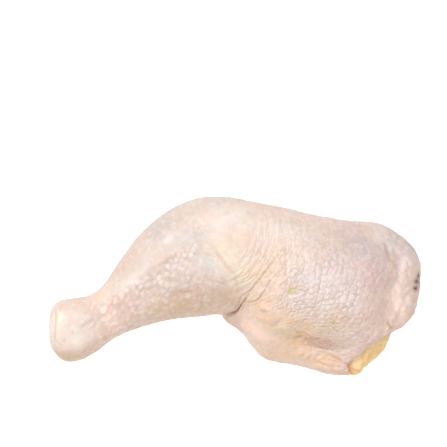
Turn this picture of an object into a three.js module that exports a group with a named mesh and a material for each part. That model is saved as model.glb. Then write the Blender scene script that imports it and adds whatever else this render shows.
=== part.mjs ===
// A raw chicken leg quarter lying on its inner side: drumstick, knee, thigh, the strip of back that was
// cut off with it, the loose skin along its belly edge and a pad of yellow fat. One piece, so one solid.
// Millimetres. +X runs from the drumstick's knuckle to the back, +Y towards the knee, +Z up.
import * as THREE from "three";
import { mergeVertices } from "three/addons/utils/BufferGeometryUtils.js";

// Driving sizes
const LENGTH = 220;
const KNUCKLE_HEIGHT = 27;
const SHANK_HEIGHT = 24;
const CALF_HEIGHT = 41;
const THIGH_HEIGHT = 43;
const BACK_HEIGHT = 22;
const SKIN_EDGE = 2.4;
const LOOSE_SKIN = 2.7;
const SHANK_LIFT = 2;
const SHANK_AT = -77;
const SHANK_REACH = 10;
const PRESSED_FLAT = 1.5;

// Mesh density: rings round the leg are fine on the skin side and coarse underneath.
const RING_TOP = 47;
const RING_UNDER = 9;

// Stations from the knuckle's end face to the edge of the back. Each joins a point of the outer edge
// (the shin, knee and saddle side) to one of the inner edge (the calf and belly side). edges are the
// heights of those two points, crown is the height of the highest point between them and peak its
// place across, from 0 at the outer edge to 1. web is the share of the width, at the inner edge, where
// the skin lies loose and thin, and rows the number of mesh rows up to the next station.
const HALF = LENGTH / 2;
const BACK_TIP = HALF - 2;
const stations = [
  { name: "end face", outer: [-HALF, -26.6], inner: [-HALF, -26.6], edges: [12.5, 12.5],
    crown: 24, peak: 0.5, web: 0, rows: 3 },
  { name: "end face rim", outer: [-109.9, -15.2], inner: [-109.5, -36.1], edges: [12.5, 12.5],
    crown: 25.8, peak: 0.5, web: 0, rows: 3 },
  { name: "knuckle shoulder", outer: [-105, -8.5], inner: [-102.8, -44.2], edges: [13.3, 12.5],
    crown: KNUCKLE_HEIGHT, peak: 0.5, web: 0, rows: 4 },
  { name: "knuckle", outer: [-95.8, -6.6], inner: [-92.1, -44], edges: [13.3, 11.6],
    crown: KNUCKLE_HEIGHT, peak: 0.48, web: 0, rows: 4 },
  { name: "shank start", outer: [-86, -4.6], inner: [-81.1, -37.5], edges: [13.3, 11.6],
    crown: 25.8, peak: 0.5, web: 0, rows: 3 },
  { name: "shank", outer: [-78, 2.2], inner: [-72.1, -30.9], edges: [13.3, 11.6],
    crown: SHANK_HEIGHT, peak: 0.5, web: 0, rows: 4 },
  { name: "calf start", outer: [-68.6, 16.5], inner: [-60.3, -25.8], edges: [15.1, 13.3],
    crown: 31.2, peak: 0.47, web: 0, rows: 6 },
  { name: "calf", outer: [-56.2, 32.4], inner: [-41.4, -20.4], edges: [16.9, 15.1],
    crown: 37.4, peak: 0.48, web: 0, rows: 7 },
  { name: "belly of the calf", outer: [-41.4, 44.7], inner: [-22.5, -18.2], edges: [17.8, 16],
    crown: CALF_HEIGHT, peak: 0.5, web: 0, rows: 8 },
  { name: "knee", outer: [-25.5, 52.1], inner: [-8.6, -17.8], edges: [17.8, 9.8],
    crown: 41.8, peak: 0.48, web: 0, rows: 8 },
  { name: "knee pit", outer: [-8.2, 53.7], inner: [-4.6, -22.6], edges: [17.8, 5.3],
    crown: THIGH_HEIGHT, peak: 0.43, web: 0.04, rows: 10 },
  { name: "thigh front", outer: [11.2, 50.4], inner: [4, -29], edges: [16.9, SKIN_EDGE],
    crown: THIGH_HEIGHT, peak: 0.39, web: 0.1, rows: 10 },
  { name: "thigh", outer: [31.9, 46.2], inner: [15.5, -43.6], edges: [15.1, SKIN_EDGE],
    crown: THIGH_HEIGHT, peak: 0.37, web: 0.12, rows: 8 },
  { name: "thigh middle", outer: [50.8, 42.1], inner: [37.4, -47.9], edges: [13.3, SKIN_EDGE],
    crown: 41.8, peak: 0.37, web: 0.13, rows: 7 },
  { name: "thigh rear", outer: [68.6, 39.6], inner: [57.1, -53.9], edges: [11.6, SKIN_EDGE],
    crown: 37.4, peak: 0.38, web: 0.12, rows: 4 },
  { name: "corner of the fat", outer: [78.2, 39], inner: [72.6, -52.8], edges: [10.6, 3.2],
    crown: 33.4, peak: 0.38, web: 0.1, rows: 3 },
  { name: "back start", outer: [86.6, 37.6], inner: [79.2, -45.8], edges: [9.6, 4.5],
    crown: 29.6, peak: 0.41, web: 0.06, rows: 4 },
  { name: "back", outer: [98.2, 30.1], inner: [87.8, -37.6], edges: [8, 5.3],
    crown: 23.1, peak: 0.45, web: 0.03, rows: 3 },
  { name: "notch by the fat", outer: [103.2, 25.5], inner: [92.2, -27.8], edges: [7.1, 5.3],
    crown: BACK_HEIGHT, peak: 0.48, web: 0, rows: 3 },
  { name: "back edge", outer: [107.4, 19.9], inner: [100.6, -22.9], edges: [7.1, 6.2],
    crown: 18.7, peak: 0.5, web: 0, rows: 2 },
  { name: "back rim", outer: [HALF - 0.3, 10.7], inner: [106.6, -14.6], edges: [7.1, 6.2],
    crown: 15.1, peak: 0.5, web: 0, rows: 2 },
  { name: "back tip", outer: [BACK_TIP, -3], inner: [BACK_TIP, -3], edges: [6.2, 6.2],
    crown: 12.5, peak: 0.5, web: 0, rows: 0 },
];
const KNUCKLE_CAP = 2.2;
const BACK_CAP = 4;

// Swellings of the flesh under the skin, in plan: centre, half length, half width, turn and rise.
const swellings = [
  { name: "joint head by the end face", at: [-97.4, -15.9], long: 10.3, wide: 7.5, turn: 10, rise: 1.3 },
  { name: "lower joint head", at: [-96.4, -35.6], long: 10.3, wide: 7.5, turn: 20, rise: 0.9 },
  { name: "shin muscle", at: [-37.4, 30.9], long: 28.1, wide: 8.4, turn: 42, rise: 2.1 },
  { name: "calf muscle", at: [-30, 0], long: 24.3, wide: 14, turn: 22, rise: 2.4 },
  { name: "kneecap", at: [-13.1, 39.3], long: 11.2, wide: 10.3, turn: 0, rise: 1.4 },
  { name: "thigh muscle", at: [54.3, 1.9], long: 31.8, wide: 20.6, turn: -12, rise: 2.8 },
  { name: "front of the thigh", at: [22.5, 20.6], long: 20.6, wide: 14, turn: 60, rise: 1.5 },
  { name: "hip end of the thigh", at: [77.7, 13.1], long: 15, wide: 13.1, turn: 0, rise: 1.9 },
  { name: "upper lobe of the back", at: [100.2, 15], long: 10.3, wide: 6.6, turn: 115, rise: 2.4 },
  { name: "lower lobe of the back", at: [97.4, -16.9], long: 11.2, wide: 6.6, turn: 68, rise: 3 },
  { name: "fat pad", at: [78.4, -41.4], long: 12.2, wide: 3.8, turn: 40, rise: 1.8 },
  { name: "belly skin over fat", at: [20.6, -34], long: 19, wide: 7, turn: -30, rise: 3 },
  { name: "skin beside the pit", at: [10, -24], long: 10, wide: 5, turn: -52, rise: 3 },
  { name: "belly skin under the fold", at: [44, -38.4], long: 13, wide: 4.6, turn: -12, rise: 2 },
  { name: "skin roll by the fat", at: [52.4, -46.4], long: 13.1, wide: 3.7, turn: -8, rise: 1.6 },
];

// Folds of the skin, in plan: a furrow of that depth and width along a smooth route. step raises
// the skin on the left of the route over the skin on its right.
const folds = [
  { name: "pit of the knee", width: 3.2, depth: 4.7, step: 0,
    route: [[-14, -20], [-7.5, -17.4], [-1.8, -15.2], [2.4, -12.4], [6.4, -8]] },
  { name: "edge of the thigh on the calf", width: 4.8, depth: 1.3, step: -1.1,
    route: [[0, -16], [2.8, -7], [1.6, -1.4], [-2, 7], [-7.1, 14.6], [-13.6, 20.6], [-23, 24.5]] },
  { name: "first long furrow", width: 2.8, depth: 0.6, step: 0,
    route: [[-1.8, -14], [2.8, -6.4], [8, -2.8], [14.1, 4], [21.6, 13], [25.6, 18], [28, 26]] },
  { name: "second long furrow", width: 2.8, depth: 0.6, step: 0,
    route: [[3, -11], [8, -8.9], [12.4, -8.4], [16.7, -3.2], [21.2, 4.3], [26.9, 9.6], [34, 18]] },
  { name: "groove between shin and calf", width: 4.4, depth: 1.2, step: 0,
    route: [[-17, 23.6], [-25, 21.6], [-31, 19], [-38, 14.2], [-46.2, 9], [-58, 1]] },
  { name: "tendon line of the knuckle", width: 2.4, depth: 0.6, step: 0,
    route: [[-92.7, -28.1], [-85.2, -23], [-77.7, -16.4]] },
  { name: "fold under the thigh", width: 3.2, depth: 1.9, step: 0.6,
    route: [[33, -23.5], [38, -29.8], [47.6, -36], [56.2, -37.4], [68, -35]] },
  { name: "pleat towards the fat", width: 2.2, depth: 1.2, step: 0,
    route: [[47, -37.6], [56, -41.2], [62, -44.4], [67.4, -47]] },
  { name: "skin edge over the fat", width: 2.8, depth: 1.4, step: 0.9,
    route: [[66.6, -58], [67, -48.6], [73, -41.6], [81.8, -34.6], [93, -27]] },
  { name: "valley before the back", width: 5, depth: 1.1, step: 0,
    route: [[73, 33.7], [86.1, 23.4], [94.1, 13.1], [91.7, 3.7], [89.4, -3.7], [90.3, -15], [91.3, -29]] },
  { name: "dip between the lobes of the back", width: 3.4, depth: 0.9, step: 0,
    route: [[95.5, 7], [103, 3.6], [112, -0.6]] },
  { name: "crease in the belly skin", width: 2.4, depth: 0.9, step: 0,
    route: [[15, -17.4], [20, -17.6], [24, -21.4], [28, -20]] },
];

const clamp01 = (x) => Math.min(1, Math.max(0, x));
const bell = (x) => Math.exp(-x * x);

// The lengthwise curves: each runs through one value of every station.
const curveOf = (pick) => new THREE.CatmullRomCurve3(stations.map((s) => new THREE.Vector3(...pick(s))));
const outerEdge = curveOf((s) => [...s.outer, s.edges[0]]);
const innerEdge = curveOf((s) => [...s.inner, s.edges[1]]);
const section = curveOf((s) => [s.crown, s.peak * 100, s.web * 100]);

// The station number, whole or between two, of every mesh row.
const rowStations = stations.flatMap((s, i) =>
  Array.from({ length: s.rows }, (_, k) => i + k / s.rows),
);
rowStations.push(stations.length - 1);

// How full the section is near the two ends, where it closes: a quarter of an ellipse.
function fullness(station) {
  const fromEnd = Math.min(station / KNUCKLE_CAP, (stations.length - 1 - station) / BACK_CAP);
  return Math.sqrt(1 - (1 - clamp01(fromEnd)) ** 2);
}

// Place across the section for a share of its ring: closer together at the edges, where it turns.
const EDGE_CROWDING = 0.45;
function across(share) {
  return (1 - EDGE_CROWDING) * share + (EDGE_CROWDING * (1 - Math.cos(Math.PI * share))) / 2;
}

// The arch from edge to edge, which is 1 at the peak and as round as an ellipse at the outer edge.
function arch(u, peak) {
  const outer = 0.5;
  const inner = (outer * (1 - peak)) / peak;
  return (u / peak) ** outer * ((1 - u) / (1 - peak)) ** inner;
}

// How loose the skin is at the inner edge, from 0 on the drumstick to 1 along the thigh.
const FULL_WEB = 0.08;
const looseness = (web) => clamp01(web / FULL_WEB);

// The rounded edge of the loose skin, which is full a little way in from the inner edge.
const EDGE_ROUND = 0.06;
const skinEdge = (u) => Math.sqrt(1 - (1 - clamp01((1 - u) / EDGE_ROUND)) ** 2);

// The arch over the meat alone, which ends where the web begins. It is averaged over a short reach
// across, so that the meat runs softly into the thin skin.
const SOFT_REACH = 0.11;
const SOFT_TAPS = [-1, -0.67, -0.33, 0, 0.33, 0.67, 1];
function meatArch(u, peak, web) {
  const reach = Math.min(SOFT_REACH, web) * clamp01(2 * u);
  const heights = SOFT_TAPS.map((tap) => arch(clamp01((u + tap * reach) / (1 - web)), peak / (1 - web)));
  return heights.reduce((sum, height) => sum + height, 0) / SOFT_TAPS.length;
}

// The thin shank arches off the table between the knuckle and the calf.
const liftAt = (x) => SHANK_LIFT * bell((x - SHANK_AT) / SHANK_REACH);

// A point of the plain body, before swellings and folds. ring runs round the section from the outer
// edge, over the top to the inner edge, and back underneath.
const TOP_SHARE = RING_TOP / (RING_TOP + RING_UNDER);
const UNDER_POWER = 2.6;
function bodyPoint(station, ring) {
  const t = station / (stations.length - 1);
  const outer = outerEdge.getPoint(t);
  const inner = innerEdge.getPoint(t);
  const { x: crown, y: peak, z: web } = section.getPoint(t);
  const over = ring < TOP_SHARE;
  const u = over ? across(ring / TOP_SHARE) : 1 - across((ring - TOP_SHARE) / (1 - TOP_SHARE));
  const point = outer.clone().lerp(inner, u);
  if (over) {
    const height = meatArch(u, peak / 100, Math.max(0, web / 100));
    const roll = LOOSE_SKIN * looseness(web / 100) * skinEdge(u) * (1 - height);
    point.z += ((crown - point.z) * height + roll) * fullness(station);
  } else {
    const hollow = clamp01(1 - Math.abs(2 * u - 1) ** UNDER_POWER) ** (1 / UNDER_POWER);
    point.z -= (point.z - liftAt(point.x) + PRESSED_FLAT) * hollow * fullness(station);
  }
  return point;
}

// Rise of the skin at a place in plan from all the swellings.
function swelling(x, y) {
  return swellings.reduce((sum, s) => {
    const turn = THREE.MathUtils.degToRad(s.turn);
    const [dx, dy] = [x - s.at[0], y - s.at[1]];
    const along = (dx * Math.cos(turn) + dy * Math.sin(turn)) / s.long;
    const side = (dy * Math.cos(turn) - dx * Math.sin(turn)) / s.wide;
    return sum + s.rise * bell(Math.hypot(along, side));
  }, 0);
}

// The folds' routes as short straight steps, so that a distance to them can be measured.
const ROUTE_STEPS = 32;
const routes = folds.map((fold) => {
  const curve = new THREE.CatmullRomCurve3(fold.route.map(([x, y]) => new THREE.Vector3(x, y, 0)));
  return { ...fold, line: curve.getPoints(ROUTE_STEPS) };
});

// Depth of the skin at a place in plan below the plain body, from all the folds.
const TAPER = 0.6;
function folding(x, y) {
  return routes.reduce((sum, { line, width, depth, step }) => {
    let near = { distance: Infinity };
    line.slice(1).forEach((end, i) => {
      const start = line[i];
      const [ex, ey] = [end.x - start.x, end.y - start.y];
      const share = clamp01(((x - start.x) * ex + (y - start.y) * ey) / (ex * ex + ey * ey));
      const [dx, dy] = [x - start.x - share * ex, y - start.y - share * ey];
      const distance = Math.hypot(dx, dy);
      if (distance < near.distance) {
        near = { distance, along: (i + share) / ROUTE_STEPS, left: Math.sign(ex * dy - ey * dx) };
      }
    });
    const lip = step * near.left * bell((near.distance - width) / width);
    const strength = Math.sin(Math.PI * near.along) ** TAPER;
    return sum + (depth * bell(near.distance / width) - lip) * strength;
  }, 0);
}

// The body as a sphere's mesh whose rings are drawn out along the leg. Its two poles become the
// middle of the end face and the tip of the back, and its rings run backwards to keep the faces
// pointing outwards.
function legGeometry() {
  const rows = rowStations.length - 1;
  const columns = RING_TOP + RING_UNDER;
  const sphere = new THREE.SphereGeometry(1, columns, rows);
  const place = sphere.getAttribute("position");
  for (let i = 0; i < place.count; i += 1) {
    const row = Math.floor(i / (columns + 1));
    const column = columns - (i % (columns + 1));
    const point = bodyPoint(rowStations[row], (column % columns) / columns);
    place.setXYZ(i, point.x, point.y, point.z);
  }
  sphere.deleteAttribute("normal");
  sphere.deleteAttribute("uv");
  return mergeVertices(sphere, 1e-4);
}

// Moves the skin side in or out along its own normals, less where it is steep, and flattens what
// presses on the table.
const STEEP_LIMIT = 1.6;
function shapeSkin(geometry) {
  geometry.computeVertexNormals();
  const place = geometry.getAttribute("position");
  const normal = geometry.getAttribute("normal");
  for (let i = 0; i < place.count; i += 1) {
    const [x, y] = [place.getX(i), place.getY(i)];
    const facing = clamp01(normal.getZ(i) * STEEP_LIMIT) ** 1.5;
    const out = (swelling(x, y) - folding(x, y)) * facing;
    place.setXYZ(
      i,
      x + normal.getX(i) * out,
      y + normal.getY(i) * out,
      Math.max(0, place.getZ(i) + normal.getZ(i) * out),
    );
  }
  geometry.computeVertexNormals();
  return geometry;
}

const skin = new THREE.MeshStandardMaterial({ color: 0xedd6cb, roughness: 0.42, metalness: 0 });

const leg = new THREE.Group();
const legQuarter = new THREE.Mesh(shapeSkin(legGeometry()), skin);
legQuarter.name = "leg_quarter";
legQuarter.geometry.computeBoundingBox();
const centre = legQuarter.geometry.boundingBox.getCenter(new THREE.Vector3());
legQuarter.position.set(-centre.x, -centre.y, 0);
leg.add(legQuarter);

export default leg;
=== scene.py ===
# A raw chicken leg quarter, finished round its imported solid: the skin with its pimples, wrinkles and
# furrows, the fat along the belly edge, the joint's cartilage and the meat underneath. Metres, +Z up,
# +X from the knuckle to the strip of back, +Y towards the outer side of the knee.
import math

import bmesh
import bpy
import numpy as np
from mathutils import Matrix, Vector, noise


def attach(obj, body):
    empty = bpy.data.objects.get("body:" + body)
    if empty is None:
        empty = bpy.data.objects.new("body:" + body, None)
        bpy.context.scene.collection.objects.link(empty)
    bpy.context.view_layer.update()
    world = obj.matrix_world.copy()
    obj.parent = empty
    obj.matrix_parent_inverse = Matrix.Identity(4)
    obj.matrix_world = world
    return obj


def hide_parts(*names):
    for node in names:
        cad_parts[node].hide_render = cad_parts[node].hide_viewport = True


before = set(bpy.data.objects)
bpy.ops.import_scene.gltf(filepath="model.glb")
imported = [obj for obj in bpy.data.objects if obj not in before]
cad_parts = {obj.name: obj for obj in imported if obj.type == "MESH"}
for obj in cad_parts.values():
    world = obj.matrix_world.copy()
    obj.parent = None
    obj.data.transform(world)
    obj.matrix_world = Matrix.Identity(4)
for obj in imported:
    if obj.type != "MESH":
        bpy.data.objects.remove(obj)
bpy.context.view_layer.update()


# The skin: one sleeve of pale skin over drumstick, knee, thigh and the strip of back, with the meat
# swelling under it. It is pressed flat on the side it lies on and hangs loose along the belly edge.
MM = 0.001
SKIN_LEVELS = 2
FLAT_ANGLE = math.radians(60)
MERGE_GAP = 0.01


def piece_from(shape, name):
    """A piece in the scene with the finished shape as its mesh."""
    mesh = bpy.data.meshes.new(name)
    shape.to_mesh(mesh)
    shape.free()
    piece = bpy.data.objects.new(name, mesh)
    bpy.context.scene.collection.objects.link(piece)
    return piece


def quads_from(node_name, piece_name):
    """A copy of a solid's mesh with its corners merged and its triangles joined into quads."""
    shape = bmesh.new()
    shape.from_mesh(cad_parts[node_name].data)
    bmesh.ops.remove_doubles(shape, verts=shape.verts, dist=MERGE_GAP * MM)
    bmesh.ops.join_triangles(
        shape,
        faces=shape.faces,
        angle_face_threshold=FLAT_ANGLE,
        angle_shape_threshold=FLAT_ANGLE,
    )
    return piece_from(shape, piece_name)


def apply_modifiers(piece):
    """Keeps what a piece's modifiers make as its own mesh."""
    depsgraph = bpy.context.evaluated_depsgraph_get()
    made = bpy.data.meshes.new_from_object(piece.evaluated_get(depsgraph))
    piece.modifiers.clear()
    piece.data = made
    made.shade_smooth()


skin = quads_from("leg_quarter", "leg_skin")
rounding = skin.modifiers.new("rounding", "SUBSURF")
rounding.levels = SKIN_LEVELS
rounding.render_levels = SKIN_LEVELS
apply_modifiers(skin)

# Where each point of the skin lies, in millimetres, and which way it faces.
count = len(skin.data.vertices)
place = np.empty(count * 3, np.float32)
facing = np.empty(count * 3, np.float32)
skin.data.vertices.foreach_get("co", place)
skin.data.vertex_normals.foreach_get("vector", facing)
place = place.reshape(-1, 3).astype(float) / MM
facing = facing.reshape(-1, 3).astype(float)
x, y, z = place.T.copy()
up = facing[:, 2]


def soft(start, end, value):
    """0 before start and 1 after end, smooth between them; start may be the larger one."""
    share = np.clip((value - start) / (end - start), 0, 1)
    return share * share * (3 - 2 * share)


def bell(value):
    """1 where the value is 0, and falling softly to 0 at both sides."""
    return np.exp(-value * value)


def put_points(mesh, places):
    """Moves a mesh's points to these places in millimetres."""
    mesh.vertices.foreach_set("co", (places * MM).astype(np.float32).ravel())
    mesh.update()


def wander(size, salt):
    """Smooth noise over the skin from about -1 to 1, with features of that size in millimetres."""
    shift = Vector((17.3 * salt, 5.1 * salt, 9.7 * salt))
    return np.array([noise.noise(Vector(p) / size + shift) for p in place])


# How uneven the edge of an oval is, as a share of its smaller half.
OVAL_UNREST = 0.45
sway_x = wander(9, 40)
sway_y = wander(9, 41)


def oval(at, long, wide, turn=0.0):
    """A soft oval in plan with an uneven edge, 1 in its middle: place, half length, half width and
    turn in degrees."""
    angle = math.radians(turn)
    unrest = OVAL_UNREST * min(long, wide)
    dx, dy = x - at[0] + unrest * sway_x, y - at[1] + unrest * sway_y
    along = (dx * math.cos(angle) + dy * math.sin(angle)) / long
    side = (dy * math.cos(angle) - dx * math.sin(angle)) / wide
    return bell(np.hypot(along, side))


def smooth_route(points, steps=8):
    """Points on a smooth curve through the given ones, with so many steps between two of them."""
    points = [np.array(p, float) for p in points]
    ends = [2 * points[0] - points[1], *points, 2 * points[-1] - points[-2]]
    line = []
    for a, b, c, d in zip(ends, ends[1:], ends[2:], ends[3:]):
        for t in np.arange(steps) / steps:
            bend = (2 * a - 5 * b + 4 * c - d) * t * t + (3 * b - a - 3 * c + d) * t ** 3
            line.append(b + 0.5 * ((c - a) * t + bend))
    return np.array([*line, points[-1]])


def near(route):
    """Distance to a smooth route in plan, the place along it from 0 to 1, and the side of it."""
    line = smooth_route(route)
    distance = np.full(count, np.inf)
    along = np.zeros(count)
    side = np.zeros(count)
    for i, (start, end) in enumerate(zip(line, line[1:])):
        step = end - start
        dx, dy = x - start[0], y - start[1]
        share = np.clip((dx * step[0] + dy * step[1]) / (step @ step), 0, 1)
        gap = np.hypot(dx - share * step[0], dy - share * step[1])
        closer = gap < distance
        distance = np.where(closer, gap, distance)
        along = np.where(closer, (i + share) / (len(line) - 1), along)
        side = np.where(closer, np.sign(step[0] * dy - step[1] * dx), side)
    return distance, along, side


# The factors and masks of a usual way to scramble whole numbers.
CELL_FACTORS = (374761393, 668265263, 974634777)
LAST_FACTOR = 1274126177
WORD = 0xFFFFFFFF
HALF_WORD = 0xFFFF


def lot(i, j, salt):
    """A number from 0 to 1 drawn for a cell of a pattern, always the same for the same cell."""
    by_i, by_j, by_salt = CELL_FACTORS
    mixed = (i.astype(np.int64) * by_i + j.astype(np.int64) * by_j + salt * by_salt) & WORD
    mixed = ((mixed ^ (mixed >> 13)) * LAST_FACTOR) & WORD
    return ((mixed ^ (mixed >> 16)) & HALF_WORD) / HALF_WORD


def cells(u, v, jitter, salt):
    """Uneven cells in staggered rows, one unit apart: distance to the nearest middle and its draw."""
    nearest = np.full(count, np.inf)
    draw = np.zeros(count)
    for dj in (-1, 0, 1):
        j = np.floor(v) + dj
        shift = 0.5 * (j % 2)
        for di in (-1, 0, 1):
            i = np.floor(u - shift) + di
            du = u - (i + 0.5 + shift + jitter * (lot(i, j, salt) - 0.5))
            dv = v - (j + 0.5 + jitter * (lot(i, j, salt + 1) - 0.5))
            gap = np.hypot(du, dv)
            draw = np.where(gap < nearest, lot(i, j, salt + 2), draw)
            nearest = np.minimum(nearest, gap)
    return nearest, draw


# The skin as if rolled out flat, so that its pattern keeps its size down the sides: the way over the
# top from the middle of the leg. SPINE is that middle, with the height of the skin at each place.
SPINE = [
    (-116, -27, 24), (-94, -25, 27), (-75, -14, 24), (-49, 6, 37), (-32, 13, 41), (-12, 16.5, 42),
    (7, 10, 43), (24, 1.3, 43), (43, -2.7, 42), (63, -7, 37), (93, -4.4, 24), (116, -2, 14),
]
ROUNDNESS = 1.6
TOP_HALF = 10
spine_gap, spine_share, spine_side = near([(px, py) for px, py, _ in SPINE])
crown = np.interp(spine_share, np.linspace(0, 1, len(SPINE)), [pz for _, _, pz in SPINE])
drop = np.maximum(0, crown - z) * soft(0, TOP_HALF, spine_gap)
over = spine_side * (spine_gap ** ROUNDNESS + drop ** ROUNDNESS) ** (1 / ROUNDNESS)
rolled_y = y + over - spine_side * spine_gap

# Where the skin shows each kind of surface, from 0 to 1. A span has the value at which the surface
# begins and the one from which it is whole, and a slant turns its border in plan.
SKIN_FACING = (-0.75, -0.3)
CALF_EDGE = [
    (5, -20), (3.4, -12), (0.6, -1), (-4.2, 8), (-9, 15.4), (-15, 21), (-23, 24), (-31, 19.6),
    (-38, 14.2), (-46.2, 9), (-58, 1), (-72, -8), (-88, -16),
]
CALF_SPAN = (-1, 4)
CALF_END = (6, -3)
DRUMSTICK_SPAN = (-2, -16)
DRUMSTICK_FOOT = -10
KNEE_SLANT = 0.45
KNUCKLE_SPAN = (-82, -94)
BELLY_SPAN = (-9, -17)
BELLY_END = (66, 48)
BELLY_SLANT = 0.62
WRINKLED_SPAN = (17, 7)
QUILTED_SPAN = (5, 17)
UPPER_SPAN = (18, 32)
BACK_SPAN = (84, 93)
SMALL_SLANT = 0.1
skin_side = soft(*SKIN_FACING, up)
drift = wander(16, 1)
calf_gap, _, calf_turn = near(CALF_EDGE)
calf = soft(*CALF_SPAN, calf_turn * calf_gap + 1.5 * drift) * soft(*CALF_END, x)
drumstick = soft(*DRUMSTICK_SPAN, x - KNEE_SLANT * (y - DRUMSTICK_FOOT) + 2 * drift)
drumstick = np.maximum(drumstick, calf)
thigh = 1 - drumstick
knuckle = soft(*KNUCKLE_SPAN, x)
across_thigh = x - KNEE_SLANT * y + 3 * drift
belly_skin = soft(*BELLY_SPAN, y + BELLY_SLANT * x + 2 * drift) * soft(*BELLY_END, x) * thigh
wrinkled = thigh * soft(*WRINKLED_SPAN, across_thigh) * (1 - belly_skin)
quilted = thigh * soft(*QUILTED_SPAN, across_thigh) * (1 - 0.85 * belly_skin)
upper_thigh = soft(*UPPER_SPAN, y + SMALL_SLANT * x)
back = soft(*BACK_SPAN, x + SMALL_SLANT * y)
lower_back = oval((90, -10), 12, 26)
bold_net = oval((42, -5), 32, 23, -25)
flap = oval((18, -16), 13, 8, -20)
pit_side = oval((6, -3), 9, 8)
calf_tip = oval((-6, -4), 12, 12)
# The place of the painted lilac sheen before the knee, where there are fewer pimples.
sheen_patch = oval((-16, 12.5), 11, 7, -25)

# Pimples where the feathers grew: small, close together and drawn out a little, aslant over the
# drumstick. There are most of them along the edge of the calf.
PIMPLE_LONG = 3.7
PIMPLE_WIDE = 3.05
PIMPLE_SIZE = 0.64
PIMPLE_TOP = 0.2
PIMPLE_RISE = 0.47
PIMPLE_TURN = math.radians(58)
PIMPLE_JITTER = 0.6
ROW_SWAY = 1.5
ROW_UNREST = 0.5
DENSE_INSIDE = 10
DENSE_OUTSIDE = 5.5
DENSE_SPAN = (-18, -26)
pimple_long = x * math.cos(PIMPLE_TURN) + rolled_y * math.sin(PIMPLE_TURN) + ROW_SWAY * wander(8, 2)
pimple_long = pimple_long + ROW_UNREST * wander(2.4, 4)
pimple_row = rolled_y * math.cos(PIMPLE_TURN) - x * math.sin(PIMPLE_TURN) + ROW_SWAY * wander(8, 3)
pimple_row = pimple_row + ROW_UNREST * wander(2.4, 5)
gap, draw = cells(pimple_long / PIMPLE_LONG, pimple_row / PIMPLE_WIDE, PIMPLE_JITTER, 11)
pimple = soft(PIMPLE_SIZE, PIMPLE_TOP, gap) * (0.25 + 0.75 * soft(0.1, 1.0, draw))
into_calf = calf_gap * calf_turn - 1
dense_reach = np.where(into_calf > 0, DENSE_INSIDE, DENSE_OUTSIDE)
pimply = drumstick * bell(into_calf / dense_reach) * soft(*DENSE_SPAN, x)
pimply = np.maximum(pimply, 0.65 * calf) * (1 - 0.65 * knuckle) * (1 - 0.5 * sheen_patch)
pimply = np.clip(pimply * (1 - 0.6 * calf_tip), 0, 1)
pimple = pimple * pimply

# The skin is drawn into fine lines that cross at a sharp angle and part it into lozenges: small ones
# along a fan over the thigh, and very long ones, the folds, in rings round the knee. A net keeps two
# numbers for each point, which are whole on the lines of one set and of the other.


def net_of(along, across, long, wide, sway, unrest, salt):
    """A net over two ways on the skin: the length and width of its lozenges in millimetres, how far
    its lines sway together and how uneven each one is."""
    across = across + sway * wander(9, salt)
    first = across / wide + along / long + unrest * wander(2.6, salt + 1)
    second = across / wide - along / long + unrest * wander(2.9, salt + 2)
    return first, second


def inside_cells(net):
    """How far inside its lozenge each point is: 0 on a line and 1 in the middle."""
    return 2 * np.minimum(*[np.abs((way - 0.5) % 1 - 0.5) for way in net])


def ways_round(at, over, reach):
    """The way out from a place and the way round it, in millimetres at that reach."""
    out_x, out_y = x - at[0], over - at[1]
    return np.hypot(out_x, out_y), np.arctan2(out_y, out_x) * reach


LOZENGE_LONG = 7.0
LOZENGE_WIDE = 4.2
LOZENGE_SWAY = 1.4
LOZENGE_UNREST = 0.6
LOZENGE_RISE = 0.4
FAN_AT = (-9, -63)
FAN_REACH = 92
FOLD_LONG = 24
FOLD_WIDE = 3.8
FOLD_SWAY = 0.6
FOLD_UNREST = 0.13
FOLD_RISE = 0.36
KNEE_AT = (-19, 36)
KNEE_REACH = 35
CELL_SIDE = (0.0, 0.9)
fan_out, fan_round = ways_round(FAN_AT, rolled_y, FAN_REACH)
thigh_net = net_of(fan_out, fan_round, LOZENGE_LONG, LOZENGE_WIDE, LOZENGE_SWAY, LOZENGE_UNREST, 20)
ring_out, ring_round = ways_round(KNEE_AT, y, KNEE_REACH)
knee_net = net_of(ring_round, ring_out, FOLD_LONG, FOLD_WIDE, FOLD_SWAY, FOLD_UNREST, 30)
lozenge = soft(*CELL_SIDE, inside_cells(thigh_net))
fold = soft(*CELL_SIDE, inside_cells(knee_net))
quilt_share = quilted * (0.4 + 0.75 * bold_net) * (1 - 0.3 * back) * (1 - 0.4 * lower_back)
quilt_share = quilt_share * (1 - 0.35 * upper_thigh)
quilt_share = quilt_share * (1 - 0.8 * flap) * (1 + 0.5 * wander(12, 6))
quilt_share = np.clip(quilt_share, 0, 1)
fold_share = np.clip(wrinkled * (1 - 0.6 * upper_thigh) * (0.9 + 0.7 * wander(9, 7)), 0, 1)
fold_share = fold_share * soft(0.35, 0.8, up) * (1 - 0.5 * pit_side)
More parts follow.
